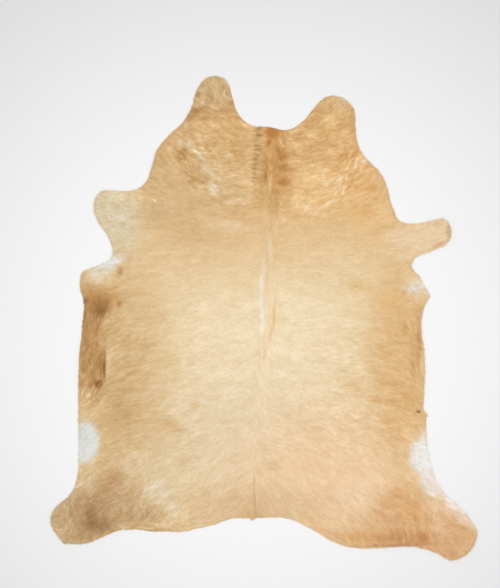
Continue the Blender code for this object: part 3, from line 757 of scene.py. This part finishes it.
def coat_colour(points, lie):
    """The coat's colour at each point, with its painted shade, in sRGB values."""
    colour = np.tile(srgb(COAT_BASE), (len(points), 1))
    rows = BODY_TONES + NECK_TONES + FORELEG_TONES + FLANK_TONES + HIND_TONES + SPINE_TONES
    # The wrinkles' painted shadows and highlights are laid on with the markings.
    tones = [Patch(*row) for row in rows] + list(wrinkle_shading(WRINKLE_SHADING))
    for number, patch in enumerate(tones):
        off = turned(points - np.array((patch.across, patch.along)), -patch.turn)
        apart = np.hypot(off[:, 0] / patch.half_across, off[:, 1] / patch.half_along)
        near = np.flatnonzero(apart < 1 + patch.soft)
        if len(near) == 0:
            continue
        weight = patch.strength * smooth((1 + patch.soft - apart[near]) / (2 * patch.soft))
        if patch.fleck > 0.0:
            flecks = drawn_out(points[near], lie[near], FLECKS, SEED + 20 + number, 5)
            weight *= 1 - patch.fleck + patch.fleck * smooth(0.5 + flecks)
        colour[near] += weight[:, None] * (srgb(patch.colour) - colour[near])
    return colour


def wrinkle_shading(row):
    """Dark painted shadows and pale painted highlights, mostly in turn, down a row of small wrinkle
    folds that fade towards its foot.
    """
    rng = np.random.default_rng(SEED + 9)
    for number in range(row.number):
        part = number / (row.number - 1)
        along = row.top + part * (row.foot - row.top) + rng.uniform(-1, 1) * WRINKLE_STRAY[1]
        across = row.head_across + part * (row.foot_across - row.head_across)
        across += rng.uniform(-1, 1) * WRINKLE_STRAY[0]
        colour = (row.dark, row.pale)[number % 2]
        strength = WRINKLE_SHADING_STRENGTH[number % 2] * (1 - part ** 2) * rng.uniform(0.6, 1.0)
        yield Patch("wrinkle", across, along, row.half_across * rng.uniform(0.6, 1.1),
                    row.half_along, colour, strength, 0.8, 0.2, turn=rng.uniform(-12, 12))


def from_rim(points, ring):
    """How far inside the ring each point lies, and the way out to the nearest edge."""
    nearest = np.full(len(points), np.inf)
    outward = np.zeros_like(points)
    for start, end in zip(ring, np.roll(ring, -1, axis=0)):
        run = end - start
        size = math.hypot(*run)
        run = run / size
        off = points - start
        along = np.clip(off @ run, 0.0, size)
        gap = off - along[:, None] * run
        apart = gap[:, 0] ** 2 + gap[:, 1] ** 2
        closer = apart < nearest
        nearest[closer] = apart[closer]
        outward[closer] = (run[1], -run[0])
    return np.sqrt(nearest), outward


def skin_top(points):
    """The height of the skin's upper face at each point, or of the folds past its cut edge."""
    top = lift_at(points) + LEATHER
    for number, (x, y) in enumerate(points):
        hit = skin_surface.ray_cast(Vector((x, y, 1.0)), Vector((0.0, 0.0, -1.0)))[0]
        if hit is not None:
            top[number] = hit.z
    return top


def room_to_crease(points, lie, crease):
    """How far a lock can grow from each point before it meets the crease."""
    start = np.array((crease.across, crease.along))
    run = np.array((crease.end_across, crease.end_along)) - start
    off = start - points
    bend = lie[:, 0] * run[1] - lie[:, 1] * run[0]
    bend = np.where(np.abs(bend) < 1e-9, 1e-9, bend)
    reach = (off[:, 0] * run[1] - off[:, 1] * run[0]) / bend
    place = (off[:, 0] * lie[:, 1] - off[:, 1] * lie[:, 0]) / bend
    return np.where((reach > 0) & (place >= 0) & (place <= 1), reach, np.inf)


bpy.ops.mesh.primitive_cone_add(vertices=3, radius1=0.5, depth=1.0, location=(0.5, 0.0, 0.0),
                                rotation=(0.0, math.pi / 2, 0.0))
lock = bpy.context.object
lock.name = "lock_of_hair"
bpy.ops.object.transform_apply(location=True, rotation=True, scale=True)
shape = lock.data
base = [vert for vert in shape.vertices if vert.co.x < 0.5]
tip = [vert for vert in shape.vertices if vert.co.x > 0.5][0]
base.sort(key=lambda vert: vert.co.z)
base[0].co = (WIDEST, -0.5, -1.0)
base[2].co = (WIDEST, 0.5, -1.0)
base[1].co = (0.0, 0.0, 0.0)
tip.co = (1.0, 0.0, 0.0)
bpy.ops.object.mode_set(mode="EDIT")
bpy.ops.mesh.select_all(action="SELECT")
bpy.ops.mesh.normals_make_consistent(inside=False)
bpy.ops.object.mode_set(mode="OBJECT")
strand = shape.uv_layers.new(name="strand") if not shape.uv_layers else shape.uv_layers[0]
strand.name = "strand"
for loop in shape.loops:
    co = shape.vertices[loop.vertex_index].co
    strand.data[loop.index].uv = (co.y + 0.5, co.x)
for face in shape.polygons:
    face.use_smooth = False

# Cow hair, washed and brushed: each lock carries its own colour, a little darker at its root,
# and fine strands that run along it, which give it a soft satin gloss. The strands are drawn
# about 0.7 mm wide, coarser than their real 0.05 mm.
hair = bpy.data.materials.new("short_cow_hair")
hair.use_nodes = True
tree = hair.node_tree
coat = node(tree, "ShaderNodeAttribute", attribute_name="coat")
seed = node(tree, "ShaderNodeAttribute", attribute_name="seed")
uv = node(tree, "ShaderNodeUVMap", uv_map="strand")
part = node(tree, "ShaderNodeSeparateXYZ", {0: uv.outputs[0]})
spread = node(tree, "ShaderNodeVectorMath", {0: uv.outputs[0],
              1: (STRANDS_ACROSS, STRANDS_ALONG, 0.0)}, operation="MULTIPLY")
apart = node(tree, "ShaderNodeCombineXYZ", {"Z": seed.outputs["Fac"]})
own = node(tree, "ShaderNodeVectorMath", {0: spread.outputs[0], 1: apart.outputs[0]})
hairs = node(tree, "ShaderNodeTexNoise", {"Vector": own.outputs[0], "Scale": 1.0, "Detail": 1.0})
fade = node(tree, "ShaderNodeMapRange", {"Value": part.outputs["Y"], "From Max": 0.6,
            "To Min": ROOT_SHADE, "To Max": 1.0})
line = node(tree, "ShaderNodeMapRange", {"Value": hairs.outputs["Fac"], "From Min": 0.25,
            "From Max": 0.75, "To Min": 0.90, "To Max": 1.10})
tone = node(tree, "ShaderNodeMath", {0: fade.outputs[0], 1: line.outputs[0]}, operation="MULTIPLY")
shaded = node(tree, "ShaderNodeVectorMath", {0: coat.outputs["Color"], "Scale": tone.outputs[0]},
              operation="SCALE")
gloss = node(tree, "ShaderNodeMapRange", {"Value": hairs.outputs["Fac"], "To Min": 0.48,
             "To Max": 0.68})
relief = node(tree, "ShaderNodeBump", {"Height": hairs.outputs["Fac"], "Distance": 0.0004,
              "Strength": 0.4})
shader = tree.nodes["Principled BSDF"]
tree.links.new(shaded.outputs[0], shader.inputs["Base Color"])
tree.links.new(gloss.outputs[0], shader.inputs["Roughness"])
tree.links.new(relief.outputs[0], shader.inputs["Normal"])
shader.inputs["Specular IOR Level"].default_value = 0.35
shader.inputs["Sheen Weight"].default_value = 0.06
shader.inputs["Sheen Roughness"].default_value = 0.5
lock.data.materials.append(hair)

# The coat is laid out: where each lock grows, which way it lies, and its size and colour. A lock
# ends at the hide's outline or at a crease, and rises only as far as the skin under it does.
rng = np.random.default_rng(SEED)
roots = lattice(ring, ROOT_SPACING)
roots = roots + rng.uniform(-0.5, 0.5, roots.shape) * ROOT_SPACING
roots = roots[inside(roots, moved_in(ring, EDGE_INSET))]
lie, length, streak = combed(roots)
lie = turned(lie, rng.normal(0.0, LIE_STRAY, len(roots)))
length *= rng.uniform(1 - LENGTH_STRAY, 1 + LENGTH_STRAY, len(roots))
room, outward = from_rim(roots, ring)
facing = np.maximum((lie * outward).sum(axis=1), LEAST_FACING)
overhang = OVERHANG * rng.exponential(1.0, len(roots))
length = np.minimum(length, (room + overhang) / facing)
for crease in CREASES:
    room_ahead = room_to_crease(roots, lie, crease)
    length = np.minimum(length, np.maximum(room_ahead, SHORTEST))
short_of_rim = room / facing - length
droop = DROOP * (1 - smooth(short_of_rim / DROOP_ZONE)) * facing
tips = roots + lie * length[:, None]
skin_surface = BVHTree.FromPolygons([vert.co[:] for vert in skin.data.vertices],
                                    [face.vertices[:] for face in skin.data.polygons])
root_top, tip_top = skin_top(roots), skin_top(tips)
bulge = np.maximum(skin_top((roots + tips) / 2) - (root_top + tip_top) / 2, 0.0)
slope = np.degrees(np.arctan2(tip_top - root_top + 2 * bulge, length))
pitch = slope + LAY_ANGLE - droop + rng.normal(0.0, PITCH_STRAY, len(roots))
roll = rng.normal(0.0, ROLL_STRAY, len(roots))
yaw = np.arctan2(lie[:, 1], lie[:, 0])
width = LOCK_WIDTH * rng.uniform(1 - WIDTH_STRAY, 1 + WIDTH_STRAY, len(roots))
width *= 1 - FRINGE_THIN * (1 - smooth(short_of_rim / DROOP_ZONE)) * facing
showing = roots + lie * (SHOWING * length + rng.normal(0.0, STRAY, len(roots)))[:, None]
for axis in (0, 1):
    showing[:, axis] += WANDER * cloud(roots, WANDER_SIZE, SEED + 5 + axis)
shift = LOCK_SHARE * rng.normal(0.0, 1.0, len(roots))
for number, kind in enumerate(STREAKS):
    shift += kind.share * drawn_out(roots, lie, kind, SEED + 10 + number)
seen = linear(coat_colour(showing, lie))
# Painted light: the colours are made brighter away from the light's middle, to make up for the
# softbox's falloff.
off_middle = showing - np.array(LIGHT_MIDDLE)
seen *= 1 + LIGHT_FALL * (off_middle ** 2).sum(axis=1)[:, None]
colour = (seen - GLOSS) / (SELF_SHADE[0] + SELF_SHADE[1] * seen)
# Streaks: partly the hair's own colour, partly painted shading of the clumps of hair.
colour *= np.exp((streak * shift)[:, None] * STREAK_HUE)
colour = np.clip(colour, 0.0, PALEST)

# The skin under the locks is painted with the coat's colours, darkened as painted shade of the hair
# between the roots.
under = np.array([vert.co.xy for vert in skin.data.vertices])
shade = UNDERCOAT_SHADE * linear(coat_colour(under, combed(under)[0]))
skin.data.attributes.new("coat", "FLOAT_COLOR", "POINT").data.foreach_set(
    "color", np.column_stack((shade, np.ones(len(under)))).ravel())


def locks_on_points(name, side):
    """Geometry nodes that put the lock on each root and store each lock's place on the map."""
    tree = bpy.data.node_groups.new(name, "GeometryNodeTree")
    tree.interface.new_socket("Geometry", in_out="INPUT", socket_type="NodeSocketGeometry")
    tree.interface.new_socket("Geometry", in_out="OUTPUT", socket_type="NodeSocketGeometry")
    given = node(tree, "NodeGroupInput")
    index = node(tree, "GeometryNodeInputIndex")
    column = node(tree, "ShaderNodeMath", {0: index.outputs[0], 1: side}, operation="MODULO")
    part = node(tree, "ShaderNodeMath", {0: index.outputs[0], 1: side}, operation="DIVIDE")
    row = node(tree, "ShaderNodeMath", {0: part.outputs[0]}, operation="FLOOR")
    cell = node(tree, "ShaderNodeCombineXYZ", {"X": column.outputs[0], "Y": row.outputs[0]})
    celled = node(tree, "GeometryNodeStoreNamedAttribute", {
        "Geometry": given.outputs[0], "Name": "cell", "Value": cell.outputs[0]},
        data_type="FLOAT_VECTOR")
    dots = node(tree, "GeometryNodeMeshToPoints", {"Mesh": celled.outputs[0]})
    one = node(tree, "GeometryNodeObjectInfo", {"Object": lock})
    turn, size, own_cell, strand = (
        node(tree, "GeometryNodeInputNamedAttribute", {"Name": title}, data_type="FLOAT_VECTOR")
        for title in ("turn", "size", "cell", "strand"))
    euler = node(tree, "FunctionNodeEulerToRotation", {0: turn.outputs[0]})
    placed = node(tree, "GeometryNodeInstanceOnPoints", {
        "Points": dots.outputs[0], "Instance": one.outputs["Geometry"],
        "Rotation": euler.outputs[0], "Scale": size.outputs[0]})
    real = node(tree, "GeometryNodeRealizeInstances", {"Geometry": placed.outputs[0]})
    inset = node(tree, "ShaderNodeVectorMath", {
        0: strand.outputs[0], 1: (1 - 2 * CELL_MARGIN, 1 - 2 * CELL_MARGIN, 0.0),
        2: (CELL_MARGIN, CELL_MARGIN, 0.0)}, operation="MULTIPLY_ADD")
    summed = node(tree, "ShaderNodeVectorMath", {0: own_cell.outputs[0], 1: inset.outputs[0]})
    scaled = node(tree, "ShaderNodeVectorMath", {0: summed.outputs[0], "Scale": 1 / side},
                  operation="SCALE")
    stored = node(tree, "GeometryNodeStoreNamedAttribute", {
        "Geometry": real.outputs[0], "Name": "OFBake", "Value": scaled.outputs[0]},
        data_type="FLOAT2", domain="CORNER")
    node(tree, "NodeGroupOutput", {0: stored.outputs[0]})
    return tree


def grow(name, chosen):
    """One piece of the coat: a point for each chosen root, and the lock on it."""
    mesh = bpy.data.meshes.new(name)
    mesh.vertices.add(len(chosen))
    place = np.column_stack((roots, root_top - ROOT_DEPTH))
    mesh.vertices.foreach_set("co", place[chosen].ravel())
    number = np.arange(len(roots))
    for title, kind, values in (
            ("turn", "FLOAT_VECTOR", (np.radians(roll), -np.radians(pitch), yaw)),
            ("size", "FLOAT_VECTOR", (length, width, np.full(len(roots), LOCK_THICK))),
            ("coat", "FLOAT_COLOR", (*colour.T, np.ones(len(roots)))),
            ("seed", "FLOAT", (SEED_STEP * number % 1000,))):
        channel = {"FLOAT": "value", "FLOAT_VECTOR": "vector", "FLOAT_COLOR": "color"}[kind]
        mesh.attributes.new(title, kind, "POINT").data.foreach_set(
            channel, np.column_stack(values)[chosen].ravel())
    piece = bpy.data.objects.new(name, mesh)
    bpy.context.scene.collection.objects.link(piece)
    grown = piece.modifiers.new("locks", "NODES")
    grown.node_group = locks_on_points(name, math.ceil(math.sqrt(len(chosen))))
    bpy.context.view_layer.objects.active = piece
    piece.select_set(True)
    bpy.ops.object.modifier_apply(modifier=grown.name)
    piece.select_set(False)
    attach(piece, "root")
    return piece


for band in BANDS:
    in_band = (roots[:, 1] >= band.low) & (roots[:, 1] < band.high)
    grow(band.name, np.flatnonzero(in_band))
bpy.data.objects.remove(lock)

# --- Floor, light and camera ---------------------------------------------------------------
# A plain pale floor under one wide softbox, in a white room, seen from straight above.

FLOOR_RADIUS = 80.0
FLOOR_DROP = 0.0005           # keeps the floor clear of the hide's flat underside
FLOOR_COLOUR = "#EDEDED"
CEILING_LIGHT = 0.70
WALL_LIGHT = 0.79 * CEILING_LIGHT     # as bright as the far floor, so that no edge shows
SOFTBOX_SIDE = 3.2
SOFTBOX_PLACE = (-0.03, -0.12, 3.3)
SOFTBOX_POWER = 24.0
SOFTBOX_SPREAD = 90.0         # degrees, as a grid in front of the box leaves it
CAMERA_LENS = 50.0
CAMERA_SENSOR = 36.0
CAMERA_PLACE = (-0.0695, 0.1189, 4.063)

bpy.ops.mesh.primitive_circle_add(vertices=96, radius=FLOOR_RADIUS, fill_type="NGON",
                                  location=(0.0, 0.0, -FLOOR_DROP))
floor = bpy.context.object
floor.name = "studio_floor"
# Matt studio paper: even, pale and without gloss, so that only the hide draws the eye.
paper = bpy.data.materials.new("matt_studio_paper")
paper.use_nodes = True
shader = paper.node_tree.nodes["Principled BSDF"]
shader.inputs["Base Color"].default_value = rgba(FLOOR_COLOUR)
shader.inputs["Roughness"].default_value = 0.8
floor.data.materials.append(paper)

world = bpy.data.worlds.new("studio")
world.use_nodes = True
tree = world.node_tree
way = node(tree, "ShaderNodeTexCoord").outputs["Generated"]
upward = node(tree, "ShaderNodeSeparateXYZ", {0: way})
glow = node(tree, "ShaderNodeMapRange", {"Value": upward.outputs["Z"], "To Min": WALL_LIGHT,
            "To Max": CEILING_LIGHT})
tree.links.new(glow.outputs[0], tree.nodes["Background"].inputs["Strength"])
tree.nodes["Background"].inputs["Color"].default_value = (1.0, 1.0, 1.0, 1.0)
bpy.context.scene.world = world
bpy.context.scene.view_settings.view_transform = "Standard"

light = bpy.data.lights.new("softbox", "AREA")
light.shape = "SQUARE"
light.size = SOFTBOX_SIDE
light.energy = SOFTBOX_POWER
light.spread = math.radians(SOFTBOX_SPREAD)
softbox = bpy.data.objects.new("softbox", light)
softbox.location = SOFTBOX_PLACE
softbox.visible_camera = False
bpy.context.scene.collection.objects.link(softbox)

camera = bpy.data.cameras.new("camera")
camera.lens = CAMERA_LENS
camera.sensor_fit = "VERTICAL"
camera.sensor_height = CAMERA_SENSOR
eye = bpy.data.objects.new("camera", camera)
eye.location = CAMERA_PLACE
bpy.context.scene.collection.objects.link(eye)
bpy.context.scene.camera = eye
